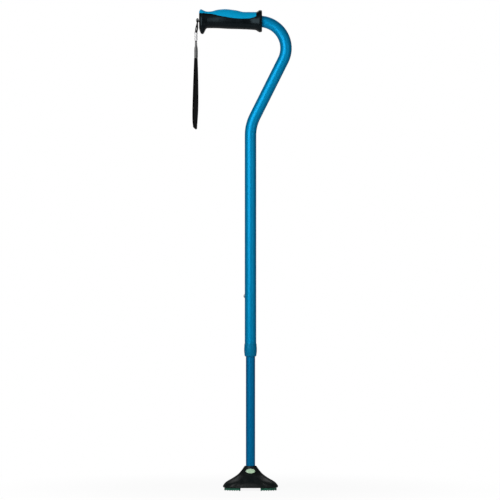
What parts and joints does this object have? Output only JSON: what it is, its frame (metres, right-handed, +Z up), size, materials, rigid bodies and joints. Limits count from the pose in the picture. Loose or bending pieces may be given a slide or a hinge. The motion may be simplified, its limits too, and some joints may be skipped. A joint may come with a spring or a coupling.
{
  "type": "offset quad cane",
  "caption": "Height-adjustable walking cane with an offset bent tube, moulded grip and palm pad, locking collar, snap button, wrist strap and a wide moulded foot on sole pads.",
  "frame": {"origin": "on the floor, under the middle of the cane's width and depth, the wrist strap left out", "axes": "+Z up along the shaft, -X the way the handle points, -Y the side that the badge faces"},
  "size_m": [0.2057, 0.086, 0.9947],
  "materials": {
    "blue_metallic": "satin metallic blue coat",
    "blue_leg": "satin metallic blue coat, darker than the upper tube",
    "blue_collar": "moulded, painted metallic blue",
    "black_grip": "soft matt black",
    "blue_pad": "soft matt blue",
    "black_nylon": "black nylon",
    "white_nylon": "off-white nylon",
    "grey_eye": "grey nylon",
    "black_cord": "braided cord",
    "bright_crimp": "nickel plated",
    "grey_sleeve": "grey moulded sleeve",
    "black_webbing": "woven webbing",
    "bright_button": "plated steel",
    "spring_steel": "blued spring steel",
    "washer_steel": "zinc plated",
    "black_foot": "moulded rubber, slight sheen",
    "pale_badge": "blank pale green oval",
    "green_sole": "dark green tread rubber"
  },
  "bodies": {
    "base": {"leg_tube": "blue_leg", "leg_guide_bush": "white_nylon", "button_spring": "spring_steel", "foot_shell": "black_foot", "foot_washer": "washer_steel", "foot_badge": "pale_badge", "sole_pad_near_left": "green_sole", "sole_pad_near_right": "green_sole", "sole_pad_far_left": "green_sole", "sole_pad_far_right": "green_sole"},
    "button": {"snap_button": "bright_button"},
    "upper": {"upper_tube": "blue_metallic", "grip_body": "black_grip", "grip_palm_pad": "blue_pad", "tube_end_plug": "black_nylon", "strap_eye": "grey_eye", "tube_end_bush": "white_nylon"},
    "clamp": {"clamp_ring": "black_nylon"},
    "collar": {"lock_collar": "blue_collar"},
    "strap_top": {"strap_cord": "black_cord", "cord_crimp": "bright_crimp"},
    "strap": {"strap_swivel": "black_nylon", "strap_sleeve": "grey_sleeve", "strap_webbing": "black_webbing"}
  },
  "joints": [
    {"name": "height_slide", "type": "slide", "parent": "base", "child": "upper", "axis": [0, 0, -1], "range_m": [0, 0.225], "deforming": ["snap_button"]},
    {"name": "button_press", "type": "slide", "parent": "base", "child": "button", "axis": [0.9397, -0.342, 0], "range_m": [0, 0.0046], "stiffness_N_per_m": 1500, "springref_m": -0.003, "deforming": ["button_spring"]},
    {"name": "collar_travel", "type": "slide", "parent": "upper", "child": "clamp", "axis": [0, 0, -1], "range_m": [0, 0.00112]},
    {"name": "collar_turn", "type": "hinge", "parent": "clamp", "child": "collar", "pos_m": [0.0137, 0, 0.289], "axis": [0, 0, 1], "range_deg": [0, 270]},
    {"name": "strap_swing", "type": "hinge", "parent": "upper", "child": "strap_top", "pos_m": [-0.0961, 0, 0.9711], "axis": [0, 1, 0], "range_deg": [-4, 100]},
    {"name": "strap_turn", "type": "hinge", "parent": "strap_top", "child": "strap", "pos_m": [-0.0991, 0, 0.929], "axis": [0, 0, 1], "continuous": true}
  ],
  "couplings": [
    {"joint": "collar_travel", "follows": "collar_turn", "m_per_rad": 0.00023873}
  ]
}
